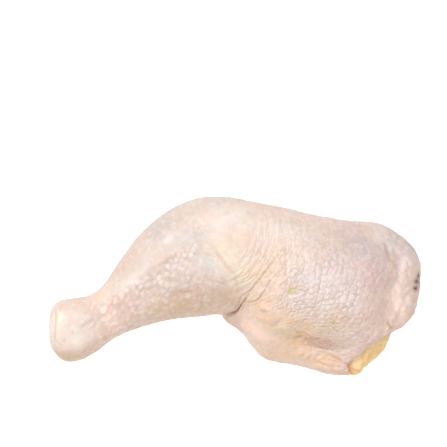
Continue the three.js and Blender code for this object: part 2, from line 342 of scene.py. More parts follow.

# Furrows and folds: width and depth of a narrow groove along a route, and how dark the painted shade
# along it is. A groove has a soft lip at each side, and one of negative depth stands up as a ridge.
FURROWS = [
    ("pit of the knee", 0.75, 1.1, 1.3, [
        (-7.7, -16.2), (-4.7, -15.6), (-2.7, -15), (-0.6, -14.3), (1.5, -12.9), (2.7, -10.8), (4, -8.7),
        (6.1, -5.8), (8.5, -2.4),
    ]),
    ("fold over the pit", 0.5, 0.3, 0.4, [(3.2, -13.5), (5, -11), (6.6, -8.2)]),
    ("first long furrow", 0.55, 0.45, 0.6, [
        (-1.3, -12.4), (1.1, -9.6), (2.6, -6), (5.1, -3.8), (7.8, -1.9), (10.3, 0.7), (13.8, 5.2),
        (17.2, 9.8), (21.1, 14.5), (24.8, 19.8), (29.4, 25.5),
    ]),
    ("second long furrow", 0.55, 0.5, 0.65, [
        (4.9, -7.1), (7.5, -8.1), (10.5, -8.2), (13.3, -6.4), (16.2, -2.2), (18.1, 1.5), (21.5, 5.6),
        (24.8, 9.7), (28.2, 13.4), (32.9, 20.9),
    ]),
    ("third furrow", 0.5, 0.3, 0.4, [
        (24.8, -0.1), (27.7, 3.2), (30.2, 5.4), (34.1, 7), (37.9, 8.2), (39.8, 9.8),
    ]),
    ("edge of the thigh", 1, 0.4, 0.22, [
        (-16.7, 26.3), (-12.3, 21.6), (-8.8, 16.1), (-5.9, 12.2), (-2.1, 6.8), (0.3, 1.5), (1.6, -5.7),
    ]),
    ("groove of the calf", 2.2, 0.12, 0.12, [
        (-23.1, 23.7), (-26.8, 21.6), (-29.7, 20.6), (-35.5, 17.5), (-41.4, 13.8), (-47.3, 10),
    ]),
    ("ridge over the calf", 1.8, -0.3, 0, [
        (-26.9, 24.3), (-33.9, 21), (-40.8, 17), (-47.9, 12.6), (-52.6, 9.3),
    ]),
    ("bump in the groove", 1.2, -0.6, 0, [(-25.3, 19.1), (-24.3, 18.7)]),
    ("small fold of the calf", 0.55, 0.3, 0.3, [(-19.6, 21.5), (-17.1, 19.9), (-13.8, 18.5)]),
    ("first stroke of the calf", 0.55, 0.28, 0.25, [(-14.7, 7.3), (-10, 5.9), (-5.3, 3.3)]),
    ("second stroke of the calf", 0.55, 0.28, 0.25, [(-12.3, 4), (-8.3, 2.5), (-4.2, 0.1)]),
    ("third stroke of the calf", 0.5, 0.2, 0.2, [(-19.3, 8.4), (-15.3, 4.8), (-10.6, 1)]),
    ("rim line of the knuckle", 0.6, 0.35, 0.4, [
        (-105.1, -12.6), (-106, -17), (-106.1, -22.2), (-106.3, -27.5), (-105.2, -32.8),
    ]),
    ("tendon of the knuckle", 1.1, 0.35, 0.25, [
        (-92.3, -24.3), (-89.8, -23), (-87.2, -21.6), (-84.7, -19.8), (-82.7, -18.4),
    ]),
    ("ridge beside the tendon", 1.2, -0.3, 0, [
        (-90, -25.5), (-86.8, -24), (-84.5, -22.2), (-82.4, -20.4),
    ]),
    ("shade under the crest", 1, 0.3, 0.4, [(13.6, -13.2), (16.3, -13.4), (19.2, -12.9)]),
    ("dent of the flap", 1.1, 0.1, 0.6, [(19.9, -21.9), (22, -21.4), (24.1, -20), (25.3, -17.6)]),
    ("ridge under the dent", 1.2, -0.4, 0, [(16.9, -22.9), (21, -23.5), (25.1, -22.9), (30.9, -21.7)]),
    ("first dimple", 1, 0.3, 0.6, [(35.2, -26.8), (36.8, -25.5)]),
    ("second dimple", 1, 0.3, 0.6, [(35.9, -29.9), (37.7, -29.4), (39.4, -28.5)]),
    ("third dimple", 0.8, 0.25, 0.4, [(41.8, -32.6), (43.5, -31.7)]),
    ("fold under the thigh", 0.8, 0.6, 0.9, [
        (41.6, -33.6), (44.5, -35), (48, -35.9), (52.1, -36.6), (56.1, -36.9), (59.8, -36),
    ]),
    ("soft fold above it", 1.5, 0.4, 0.25, [(39.6, -30.2), (43.2, -32.3), (47.9, -33.6), (53.6, -33.8)]),
    ("first streak under the thigh", 0.5, 0.3, 0.35, [(40.7, -27.3), (43, -28.8), (45.4, -30.7)]),
    ("second streak under the thigh", 0.5, 0.3, 0.35, [(45.8, -29.2), (48.3, -30.5), (51.2, -31.8)]),
    ("ridge under the thigh", 1.1, -0.5, 0, [(56, -34.7), (60.1, -34.3), (66.6, -35.4)]),
    ("yellow ridge to the fat", 1, -0.5, 0, [(53.4, -38.8), (58, -39.6), (63.4, -42.1)]),
    ("fold to the fat", 0.6, 0.55, 0.7, [
        (56.1, -40), (58.7, -42.3), (61.7, -43.7), (64.5, -45.2), (67, -46.4),
    ]),
    ("notch at the fat", 0.9, 0.5, 1.1, [(65.6, -45.2), (66.8, -46.9), (67.8, -48.9), (68.3, -51.1)]),
    ("first pleat of the edge", 0.7, -0.45, 0, [(37.2, -40.9), (39.7, -38.6)]),
    ("second pleat of the edge", 0.7, -0.45, 0, [(39.8, -43.5), (43.5, -40.3)]),
    ("third pleat of the edge", 0.7, -0.45, 0, [(46.7, -45.6), (50.5, -42), (54.5, -38.7)]),
    ("fourth pleat of the edge", 0.7, -0.4, 0, [(52, -46.1), (55.7, -42.6)]),
    ("first line between the pleats", 0.55, 0.3, 0.4, [
        (65.2, -46.4), (60.5, -44.9), (55.6, -43.8), (51.1, -43.4),
    ]),
    ("second line between the pleats", 0.5, 0.3, 0.35, [(38, -42), (39.9, -40.3), (42.1, -38.6)]),
    ("third line between the pleats", 0.5, 0.3, 0.35, [(42, -43.4), (43.9, -41.5), (46, -39.8)]),
    ("fourth line between the pleats", 0.5, 0.3, 0.35, [(45.6, -44.2), (48.1, -41.7), (50.8, -39.4)]),
    ("groove behind the rim", 0.7, 0.3, 0.2, [
        (47.6, -44.5), (51.8, -46.5), (56.4, -47.6), (62.3, -47.7),
    ]),
    ("rim of the belly edge", 1, -0.55, 0, [
        (44.7, -45.6), (49.4, -47.5), (54.7, -48.9), (60, -49.7), (65.3, -48.7),
    ]),
    ("upper valley of the back", 1.6, 0.25, 0.2, [
        (85.7, 28.9), (88.1, 21.8), (91.6, 14.8), (95.8, 9.7), (101.8, 8.2),
    ]),
    ("inner stroke of the back", 1.2, 0.25, 0.15, [(82.6, 25.9), (86.2, 20.7), (88.4, 14.8)]),
    ("lower valley of the back", 1.3, 0.25, 0.25, [(91.5, 6.6), (89.2, 2.5), (87.8, -2.8)]),
    ("ridge of the back", 1.8, -0.2, 0, [(95.9, -1.1), (96.3, -6.4), (95.7, -11.8)]),
    ("wrinkle of the lower lobe", 0.9, 0.22, 0.25, [(91.5, -17.1), (94.2, -15.3), (97.2, -13.8)]),
    ("ridge of the lower lobe", 1, -0.28, 0, [(91.9, -18.7), (95.3, -15.7), (99, -13.3), (102.6, -9.8)]),
    ("notch by the fat", 0.8, 0.45, 0.7, [(89.4, -19.9), (90.1, -21.8), (91.2, -23.5), (93.7, -25.4)]),
    ("fold beside the fat", 0.8, -0.45, 0, [(90.5, -22.5), (89.4, -25.1), (88.4, -27.8)]),
]
# LIP_AT and the width of the painted shade down a furrow count in widths of the furrow.
FURROW_TAPER = 0.6
LIP_RISE = 0.3
LIP_AT = 2.1
FURROW_SHADE_WIDTH = 0.8
groove = np.zeros(count)
ridge = np.zeros(count)
lip = np.zeros(count)
furrow_shade = np.zeros(count)
# Each furrow carves its groove and lays painted shade along it, as dark as its entry says.
for _, width, depth, dark, route in FURROWS:
    distance, along, _ = near(route)
    fade = np.sin(math.pi * along) ** FURROW_TAPER
    shape = depth * bell(distance / width) * fade
    groove = np.maximum(groove, shape)
    ridge = np.maximum(ridge, -shape)
    lip = lip + LIP_RISE * max(depth, 0) * bell((distance - LIP_AT * width) / width) * fade
    furrow_shade = np.maximum(furrow_shade, dark * bell(distance / (FURROW_SHADE_WIDTH * width)) * fade)

# The skin ends in a raised edge over the fat, and draws back behind it.
FAT_EDGE = [
    (67.6, -56), (67.4, -50), (66.9, -46.6), (68.8, -43), (72.9, -40.7), (76.9, -36.7), (81.2, -33.5),
    (86.8, -30.1), (91.6, -27),
]
EDGE_START = (0.02, 0.08)
EDGE_END = (0.99, 0.9)
BED_SPAN = (0.0, 1.2)
BED_FACING = (-0.75, -0.4)
BED_DEEP = 1.7
LIP_BACK = 0.8
LIP_WIDE = 1.0
EDGE_LIP_RISE = 0.3
LINE_AT = 0.1
LINE_WIDE = 0.8
edge_gap, edge_share, edge_side = near(FAT_EDGE)
beyond_edge = -edge_side * edge_gap
fat_span = soft(*EDGE_START, edge_share) * soft(*EDGE_END, edge_share)
fat_bed = soft(*BED_SPAN, beyond_edge) * fat_span * soft(*BED_FACING, up)
edge_lip = bell((beyond_edge + LIP_BACK) / LIP_WIDE) * fat_span
# Painted shade: a dark line just past the skin's edge, where it meets the fat.
fat_edge_shade = bell((beyond_edge - LINE_AT) / LINE_WIDE) * fat_span

# The end of the drumstick was cut through the hock: the skin is rolled in round a shallow hollow.
END_AT = (-109, -26.6, 12.6)
END_WIDE = 7.6
END_TALL = 7.8
END_DEEP = 2.6
END_SPAN = (-104, -107)
HOLLOW_RIM = (1.08, 0.85)
ROLL_AT = 1.3
ROLL_WIDE = 0.18
ROLL_RISE = 0.5
end_ring = np.hypot((y - END_AT[1]) / END_WIDE, (z - END_AT[2]) / END_TALL)
end_face = soft(*END_SPAN, x)
end_hollow = soft(*HOLLOW_RIM, end_ring) * end_face
end_roll = bell((end_ring - ROLL_AT) / ROLL_WIDE) * end_face

# The pit behind the knee is filled up a little, so that the crease in it is its deepest part.
PIT = [(-4, -17.5), (1, -14.5), (5, -9)]
PIT_HALF = 3
PIT_FILL = 1.8
pit_gap, _, _ = near(PIT)

# Soft swellings: place, half length, half width and turn, and their height.
SWELLINGS = [
    ("crest of the flap", oval((16.3, -11.8), 3.8, 2, -8), 1.2),
    ("bulge of the flap", oval((20.5, -17), 5.5, 3.6), 1.9),
    ("shelf under the dent", oval((26.4, -23.4), 7, 3.4, -5), 1.8),
    ("corner of the knuckle", oval((-106, -12.8), 3.4, 2.6, 35), 1.4),
    ("pad left of the bulge", oval((12.4, -16.5), 4.5, 2.4, -20), 0.8),
    ("pad above the dimples", oval((31, -19), 5, 3), 0.6),
    ("belly skin before the edge", oval((20, -31), 9, 5, -40), 0.6),
]

# Gentle waves: the size of their features, their salt, their height, and where they are.
WAVES = [
    ("slow waves", 13, 8, 0.4, 1 - 0.4 * drumstick),
    ("small waves", 4, 9, 0.14, 1),
    ("waves of the belly skin", 6, 52, 0.5, belly_skin),
    ("waves of the back", 7, 10, 0.4, back),
    ("ripples of the back", 3.2, 11, 0.5, back),
]

relief = PIMPLE_RISE * pimple + PIT_FILL * bell(pit_gap / PIT_HALF)
for _, where, rise in SWELLINGS:
    relief = relief + rise * where
relief = relief + LOZENGE_RISE * (lozenge - 0.4) * quilt_share
relief = relief + FOLD_RISE * (fold - 0.5) * fold_share
relief = relief + lip + ridge - groove
for _, size, salt, rise, where in WAVES:
    relief = relief + rise * wander(size, salt) * where
relief = relief + EDGE_LIP_RISE * edge_lip - BED_DEEP * fat_bed + ROLL_RISE * end_roll
relief = relief * skin_side

# Under the thigh the leg was cut from the body: there the skin stops at a thick edge round the meat.
CUT_EDGE = [
    (20, -15), (30, -26), (45, -30), (60, -33), (71, -33), (80, -25), (90, -18), (98, -8), (99, 4),
    (95, 12), (84, 15), (70, 12), (55, 12), (40, 14), (28, 15), (18, 10), (15, -2), (20, -15),
]
CUT_DEEP = 1.6
CUT_BEVEL = 2
CUT_UNREST = 1.2
CUT_FACING = (-0.6, -0.9)
cut_gap, _, cut_side = near(CUT_EDGE)
inside_cut = cut_gap * cut_side + CUT_UNREST * wander(6, 15)
underside = soft(*CUT_FACING, up)
recess = CUT_DEEP * soft(0, CUT_BEVEL, inside_cut) * underside
raised = place + facing * relief[:, None]
raised[:, 0] = raised[:, 0] + END_DEEP * end_hollow
raised[:, 2] = np.maximum(0, raised[:, 2]) + recess
put_points(skin.data, raised)


def linear(*srgb):
    """A colour given as 0 to 255, in the linear values that shaders take."""
    return np.array([(c / 255 / 12.92) if c < 11 else ((c / 255 + 0.055) / 1.055) ** 2.4 for c in srgb])


def covered(colours, share, over):
    """The colours with others laid over them, by each point's share."""
    share = share[:, None]
    return colours * (1 - share) + over * share


def painted(base, tones):
    """A tint for each point: the base all over, and each tone over it at its own place."""
    colours = np.tile(linear(*base), (count, 1))
    for _, where, strength, tone in tones:
        colours = covered(colours, strength * where, linear(*tone))
    return colours


# The skin's colours: a few named tints, and where, how much and in which tint each tone lies. Many
# tones are the skin's own colour; some are painted shade, and a few a painted sheen or highlight.
SNOW, PEARL, LILAC_SHEEN = (255, 246, 238), (234, 232, 228), (224, 222, 220)
STONE, SHADE_GREY = (216, 208, 198), (188, 185, 184)
CREAM, IVORY, BUTTER, STRAW = (244, 232, 206), (232, 218, 200), (250, 222, 182), (216, 196, 136)
BLUSH, PEACH, ROSE = (254, 224, 212), (254, 218, 194), (226, 198, 192)
PINK, CLAY = (234, 194, 198), (230, 190, 174)
LILAC, MAUVE = (226, 214, 218), (196, 184, 192)
SAND, SHADE_WHEAT, TAN = (214, 186, 166), (220, 190, 146), (200, 158, 126)
HONEY, OCHRE, AMBER, FOLD_SHADE_BROWN = (248, 206, 160), (238, 192, 124), (250, 190, 96), (186, 100, 44)
RAW, BRUISE, CLOT = (214, 150, 138), (190, 138, 124), (104, 66, 58)
ROSY, GREYISH, SHADY = (226, 186, 178), (206, 194, 182), (196, 180, 176)
FOLLICLE, FURROW_SHADE_BROWN = (176, 150, 148), (168, 112, 74)
# The tint that darkens the hollows between the pimples as painted shade.
PIMPLE_HOLLOW_SHADE = (222, 200, 190)
BASE_TONE = (233, 207, 188)
TONES = [
    ("yellow before the knee", oval((-1, 13), 17, 8, -50), 0.85, CREAM),
    ("yellow round the furrows", oval((16, 4.5), 22, 12, 42), 0.6, BUTTER),
    ("pale knee", oval((-6, 41), 14, 10), 0.7, SNOW),
    # Painted shade: the top edge of the knee greyer and darker.
    ("painted shade at the top of the knee", oval((-14, 49.5), 18, 4, 20), 0.6, STONE),
    # Painted shade: the calf's top edge greyer and darker.
    ("painted grey shade above the calf", oval((-44.5, 33), 20, 12, 42), 0.6, SHADE_GREY),
    # Painted highlight: a lilac sheen on the calf.
    ("painted lilac sheen of the calf", oval((-30.5, 26.5), 9, 6, 22), 0.7, LILAC_SHEEN),
    ("warm neck of the calf", oval((-66, 15), 13, 7, 50), 0.6, SAND),
    ("light band over the groove", oval((-55, 12.5), 14, 4, 36), 0.7, STONE),
    # Painted highlight: a lilac sheen before the knee.
    ("painted lilac sheen before the knee", oval((-17.5, 13.5), 10.5, 6, -12), 0.8, LILAC_SHEEN),
    # Painted shade: the end of the calf by the knee pit darker.
    ("painted shade at the end of the calf", oval((-7.5, -4.5), 9, 8), 0.8, SAND),
    # Painted shade: the middle of the calf greyer and darker.
    ("middle of the calf", oval((-32.5, 2.5), 17, 7, 12), 0.6, SHADE_GREY),
    # Painted shade: the underside of the calf darker and warmer.
    ("painted shade under the calf", oval((-29.5, -12), 27, 5, 8), 0.9, SHADE_WHEAT),
    ("shade in the middle of the calf", oval((-27, -2), 11, 4, 10), 0.7, TAN),
    ("light end of the calf", oval((-6.5, 2), 5, 3.5, -20), 0.6, IVORY),
    # Painted shade: a grey patch low on the calf.
    ("painted green grey shade of the calf", oval((-58.5, -1.5), 10, 6, 35), 0.6, SHADE_GREY),
    ("pink shank", oval((-66, -13.5), 15, 7, 28), 0.8, ROSE),
    ("peach neck", oval((-72, -1), 8, 5, 30), 0.6, IVORY),
    ("pink under the shank", oval((-75.5, -27.5), 10, 4.5, 35), 0.7, PEACH),
    ("pale knuckle", oval((-93, -22), 12, 9), 0.7, PEARL),
    ("yellow edge of the knuckle", oval((-104, -23), 3.5, 8), 0.6, CREAM),
    ("grey rim of the knuckle", oval((-108, -25), 1.5, 12), 0.7, PEARL),
    # Painted shade: the underside of the knuckle darker and warmer.
    ("painted shade under the knuckle", oval((-97.5, -40), 12, 3.5, 4), 0.85, SHADE_WHEAT),
    ("upper middle of the thigh", oval((23.5, 32.5), 20, 11), 0.6, SNOW),
    ("pink spot of the thigh", oval((43, 26.5), 4, 6), 0.6, LILAC),
    ("centre of the thigh", oval((44, 2.5), 17, 14), 0.7, LILAC),
    ("right of the centre", oval((60.5, 9), 12, 13), 0.6, LILAC),
    ("upper edge of the thigh", oval((52, 41.5), 32, 5, -8), 0.7, BLUSH),
    ("blue lilac of the thigh", oval((74.5, 22), 16, 11, -25), 0.7, MAUVE),
    ("mauve of the thigh", oval((77, 5.5), 10, 10), 0.7, PINK),
    ("low right of the thigh", oval((73.5, -18), 16, 8, 18), 0.8, CLAY),
    # Painted shade: the low side of the thigh darker and warmer.
    ("painted shade on the low middle of the thigh", oval((52, -22.5), 15, 7), 0.8, SHADE_WHEAT),
    ("upper lobe of the back", oval((95.5, 23.5), 12, 8, -45), 0.8, LILAC),
    ("edge of the upper lobe", oval((105, 14.5), 4, 11, 15), 0.6, BLUSH),
    ("valley before the back", oval((89.5, 9), 3.5, 11, 12), 0.7, BLUSH),
    ("yellow fleck of the back", oval((95, 6.5), 2.5, 4), 0.6, IVORY),
    ("lower lobe of the back", oval((99, -7.5), 8, 11), 0.85, BLUSH),
    ("low end of the back", oval((95.5, -19.5), 7, 4.5, 35), 0.7, PEACH),
    ("orange crest of the flap", oval((16.5, -8.5), 8, 5, 15), 0.8, HONEY),
    ("bulge of the flap", oval((20, -16), 9, 6), 0.8, HONEY),
    ("peach web of the flap", oval((11, -26.5), 15, 6, -52), 0.8, PEACH),
    ("amber of the flap", oval((36.5, -30), 8.5, 7.5), 0.9, AMBER),
    ("tan of the flap", oval((31, -19), 6, 4.5, 20), 0.8, HONEY),
    ("ochre under the bulge", oval((23.5, -21), 3.5, 2, 20), 0.9, OCHRE),
    ("skin under the pit", oval((-1, -20), 6, 4, -45), 0.5, PEACH),
    ("low edge of the flap", oval((29, -40.5), 14, 4, -12), 0.8, HONEY),
    # Painted shade: brown in the fold under the thigh.
    ("fold under the thigh", oval((48.5, -33), 11, 3, -6), 0.8, FOLD_SHADE_BROWN),
    ("cream edge by the fat", oval((57, -45), 12, 4.5, -12), 0.85, OCHRE),
    ("lilac beside the fat", oval((74, -29.5), 8, 5, 30), 0.6, ROSE),
    ("light end of the groove", oval((-61.5, 3), 14, 3, 37), 0.6, SNOW),
    # Painted shade: brown in the notch at the fat.
    ("painted shade in the notch at the fat", oval((67.7, -47.8), 1.6, 3.4, -10), 0.6, FOLD_SHADE_BROWN),
    ("yellow fleck of the flap", oval((19.5, -40), 2, 1.8), 0.7, STRAW),
    # Painted shade: grey below the calf's groove.
    ("painted grey shade below the groove", oval((-35, 13.5), 15, 4.5, 31), 0.7, SHADE_GREY),
    # Painted shade: the front edge of the knee greyer.
    ("painted grey shade at the front of the knee", oval((-21, 33), 8, 6), 0.6, SHADE_GREY),
    ("beige side of the thigh", oval((11.5, 21), 7, 12, -15), 0.6, SAND),
    ("light spot above the flap", oval((31, -9), 8, 4.5, 20), 0.6, BLUSH),
    ("light before the scab", oval((25.5, 0), 7, 5), 0.6, BLUSH),
    ("light spot beside the amber", oval((26.5, -25.5), 5, 6), 0.6, BUTTER),
    ("light right of the centre", oval((68, -8), 7, 8), 0.6, LILAC),
    ("pale underside of the knuckle", oval((-96, -32.5), 9, 4, 5), 0.6, SNOW),
    ("lilac of the upper back", oval((86, 30), 7, 6, -30), 0.6, SNOW),
    ("scab", oval((32.2, -1.4), 3.8, 2.9, 10), 1, STRAW),
    # Painted highlight: a pale spot just under the scab.
    ("painted highlight under the scab", oval((32.7, -5), 3, 1.6, 25), 0.9, CREAM),
    ("bruise at the edge", oval((107.4, 2.5), 2, 4.6), 0.85, BRUISE),
    ("upper clot", oval((107.9, 6.6), 1, 2.1), 1, CLOT),
    ("middle clot", oval((106.6, 3.3), 1.9, 1.6), 1, CLOT),
    ("lower clot", oval((106, -0.8), 1.6, 1.5), 1, CLOT),
    ("raw rim of the cut end", bell((end_ring - 1.02) / 0.14) * end_face, 0.8, RAW),
    ("yellow roll of the cut end", end_roll, 0.7, CREAM),
    ("warm edge over the fat", bell((beyond_edge + 2.5) / 4) * fat_span, 0.75, CLAY),
]
# The skin's material lays no further tints over these.
STAINS = {"scab", "upper clot", "middle clot", "lower clot"}
stain = np.max([where for name, where, _, _ in TONES if name in STAINS], axis=0)
cover = painted(BASE_TONE, TONES)

# Rosy and greyish mottle, most on the back, and a painted shade, greyer, down the steep sides that
# face to the upper left.
MOTTLE_SPAN = (0.1, 0.5)
SHADE_SHARE = 0.26
SHADE_STEEP = (0.6, 0.1)
SHADE_TOWARDS = (-0.7, 0.5)
SHADE_SPAN = (0.2, 0.8)
mottled = 0.16 + 0.3 * back
for tone, size, salt in ((ROSY, 5, 50), (GREYISH, 6, 51)):
    cover = covered(cover, mottled * soft(*MOTTLE_SPAN, wander(size, salt)), linear(*tone))
towards = SHADE_TOWARDS[0] * facing[:, 0] + SHADE_TOWARDS[1] * facing[:, 1]
shaded = SHADE_SHARE * soft(*SHADE_STEEP, up) * soft(*SHADE_SPAN, towards)
cover = covered(cover, shaded, linear(*SHADY))

# A few follicles without a feather, painted shade in the hollows between the pimples, and painted
# brown shade down the furrows and along the skin's edge at the fat.
FOLLICLES = [
    (7.1, 43.8), (72.8, 36), (89, 28), (70.4, 15.6), (76.8, 11.6), (-96, -26.6), (-100.9, -31.1),
    (-103.1, -33.4),
]
FOLLICLE_HALF = 0.85
FOLLICLE_SHARE = 0.45
PIMPLE_HOLLOW_SHADE_SHARE = 0.5
FAT_EDGE_SHADE_SHARE = 0.25
FURROW_SHADE_SHARE = 0.85
for at in FOLLICLES:
    follicle = oval(at, FOLLICLE_HALF, FOLLICLE_HALF)
    cover = covered(cover, FOLLICLE_SHARE * follicle, linear(*FOLLICLE))
# Painted shade: the skin between the pimples' tips is darkened.
pimple_hollow_shade = PIMPLE_HOLLOW_SHADE_SHARE * (1 - pimple) * pimply
cover = covered(cover, pimple_hollow_shade, cover * linear(*PIMPLE_HOLLOW_SHADE))
# Painted shade: brown darkening down the furrows and along the skin's edge at the fat.
cover = covered(cover, FURROW_SHADE_SHARE * np.maximum(furrow_shade, FAT_EDGE_SHADE_SHARE * fat_edge_shade), linear(*FURROW_SHADE_BROWN))


def store(mesh, name, kind, field, values):
    """Keeps a value for every point of a mesh, for its material to read."""
    if name in mesh.attributes:
        mesh.attributes.remove(mesh.attributes[name])
    layer = mesh.attributes.new(name, kind, "POINT")
    layer.data.foreach_set(field, values.astype(np.float32).ravel())


def store_tint(mesh, colours):
    """Keeps a colour for every point of a mesh."""
    store(mesh, "tint", "FLOAT_COLOR", "color", np.column_stack([colours, np.ones(count)]))


store_tint(skin.data, cover)
for name, values in (("tips", pimple), ("stain", stain), ("quilt", quilt_share), ("folds", fold_share)):
    store(skin.data, name, "FLOAT", "value", values)
for name, net in (("thigh_net", thigh_net), ("knee_net", knee_net)):
    store(skin.data, name, "FLOAT_VECTOR", "vector", np.column_stack([*net, 0 * x]))


def add(tree, kind, inputs, **settings):
    """Adds a shader node. A socket given as an input's value is linked to it."""
    made = tree.nodes.new(kind)
    for name, value in settings.items():
        setattr(made, name, value)
    for name, value in inputs.items():
        if isinstance(value, bpy.types.NodeSocket):
            tree.links.new(value, made.inputs[name])
        else:
            made.inputs[name].default_value = value
    return made


def new_material(name):
    """An empty material, and its node tree."""
    material = bpy.data.materials.new(name)
    material.use_nodes = True
    material.node_tree.nodes.clear()
    return material, material.node_tree


# The numbers of a mix node's sockets for colours.
COLOUR_FACTOR, COLOUR_A, COLOUR_B, COLOUR_RESULT = 0, 6, 7, 2


def blend_colours(tree, share, a, b):
    """Mixes two colours by a share that may be a socket or a number."""
    sockets = {COLOUR_FACTOR: share, COLOUR_A: a, COLOUR_B: b}
    return add(tree, "ShaderNodeMix", sockets, data_type="RGBA").outputs[COLOUR_RESULT]


def maths(tree, way, a, b):
    """Works out two numbers, each of which may be a socket."""
    return add(tree, "ShaderNodeMath", {0: a, 1: b}, operation=way).outputs[0]


def product(tree, a, b):
    """Multiplies two numbers, each of which may be a socket."""
    return maths(tree, "MULTIPLY", a, b)


def ramp(tree, value, start, end, low, high):
    """Maps a value from one range to another and holds it there."""
    return add(
        tree,
        "ShaderNodeMapRange",
        {"Value": value, "From Min": start, "From Max": end, "To Min": low, "To Max": high},
    ).outputs[0]


def kept(tree, name):
    """The value that is kept under that name for each point."""
    return add(tree, "ShaderNodeAttribute", {}, attribute_name=name).outputs["Fac"]


def kept_tint(tree):
    """The colour that store_tint keeps for each point."""
    return add(tree, "ShaderNodeVertexColor", {}, layer_name="tint").outputs["Color"]


def shade(*srgb):
    """A colour given as 0 to 255, as a shader's socket takes it."""
    return (*linear(*srgb), 1)


def new_group(name, given, made):
    """A node group with its sockets by name, the given ones with their kinds, and what they give."""
    group = bpy.data.node_groups.new(name, "ShaderNodeTree")
    for socket, kind in given.items():
        group.interface.new_socket(socket, in_out="INPUT", socket_type="NodeSocket" + kind)
    for socket in made:
        group.interface.new_socket(socket, in_out="OUTPUT", socket_type="NodeSocketFloat")
    return group, add(group, "NodeGroupInput", {}).outputs


def moist_grain():
    """A node group for raw tissue: a fine pebbled height and a slow mottle."""
    sockets = {"Vector": "Vector", "Grain Scale": "Float", "Mottle Scale": "Float"}
    group, given = new_group("moist grain", sockets, ["Height", "Mottle"])
    fine = {"Vector": given["Vector"], "Scale": given["Grain Scale"]}
    slow = {"Vector": given["Vector"], "Scale": given["Mottle Scale"]}
    pebble = add(group, "ShaderNodeTexVoronoi", {**fine, "Smoothness": 0.6}, feature="SMOOTH_F1")
    grain = add(group, "ShaderNodeTexNoise", {**fine, "Detail": 3.0})
    height = maths(group, "SUBTRACT", grain.outputs["Fac"], pebble.outputs["Distance"])
    mottle = add(group, "ShaderNodeTexNoise", {**slow, "Detail": 4.0, "Roughness": 0.6})
    add(group, "NodeGroupOutput", {"Height": height, "Mottle": mottle.outputs["Fac"]})
    return group


grain_group = moist_grain()


def add_grain(tree, grain_size, mottle_size):
    """Places the grain group in a material, its two sizes in millimetres."""
    sockets = {
        "Vector": add(tree, "ShaderNodeTexCoord", {}).outputs["Object"],
        "Grain Scale": 1 / (grain_size * MM),
        "Mottle Scale": 1 / (mottle_size * MM),
    }
    return add(tree, "ShaderNodeGroup", sockets, node_tree=grain_group).outputs


def tinged(tree, colour, tinges):
    """A colour with tinges over it: each grows with a value from a start to an end, up to a share."""
    for _, value, start, end, most, tone in tinges:
        colour = blend_colours(tree, ramp(tree, value, start, end, 0, most), colour, shade(*tone))
    return colour


def finish(tree, shader):
    """Makes a shader the material's surface."""
    add(tree, "ShaderNodeOutputMaterial", {"Surface": shader.outputs[0]})


def finish_tissue(tree, colour, grain, rough, height, bump, inside, reach, depth, coat, film):
    """Ends a material of raw tissue: its least and most roughness, by the mottle; the strength and
    millimetres of its bumps; how much light goes inside, how far each colour of it reaches and how
    deep in millimetres; and how much wet film lies over it and how rough that is."""
    strength, relief_depth = bump
    sockets = {"Strength": strength, "Distance": relief_depth * MM, "Height": height}
    shader = add(
        tree,
        "ShaderNodeBsdfPrincipled",
        {
            "Base Color": colour,
            "Roughness": ramp(tree, grain["Mottle"], 0.3, 0.7, *rough),
            "Subsurface Weight": inside,
            "Subsurface Radius": reach,
            "Subsurface Scale": depth * MM,
            "Coat Weight": coat,
            "Coat Roughness": film,
            "Normal": add(tree, "ShaderNodeBump", sockets).outputs[0],
        },
    )
    finish(tree, shader)


def skin_net():
    """A node group that draws a net as inside_cells does, but to the last pixel: how far inside its
    lozenge each point is, and a draw for the lozenge."""
    group, given = new_group("skin net", {"Net": "Vector"}, ["Inside", "Draw"])
    net = add(group, "ShaderNodeSeparateXYZ", {"Vector": given["Net"]}).outputs
    first = maths(group, "PINGPONG", net["X"], 0.5)
    second = maths(group, "PINGPONG", net["Y"], 0.5)
    inside = product(group, maths(group, "MINIMUM", first, second), 2.0)
    cell = add(group, "ShaderNodeVectorMath", {0: given["Net"]}, operation="FLOOR").outputs[0]
    draw = add(group, "ShaderNodeTexWhiteNoise", {"Vector": cell}, noise_dimensions="2D").outputs["Value"]
    add(group, "NodeGroupOutput", {"Inside": inside, "Draw": draw})
    return group


net_group = skin_net()


def add_net(tree, net_name):
    """Places the net that is kept under that name in a material."""
    net = add(tree, "ShaderNodeAttribute", {}, attribute_name=net_name).outputs["Vector"]
    return add(tree, "ShaderNodeGroup", {"Net": net}, node_tree=net_group).outputs


# The size of the finest net in the skin, in millimetres.
FINE_NET = 1.3


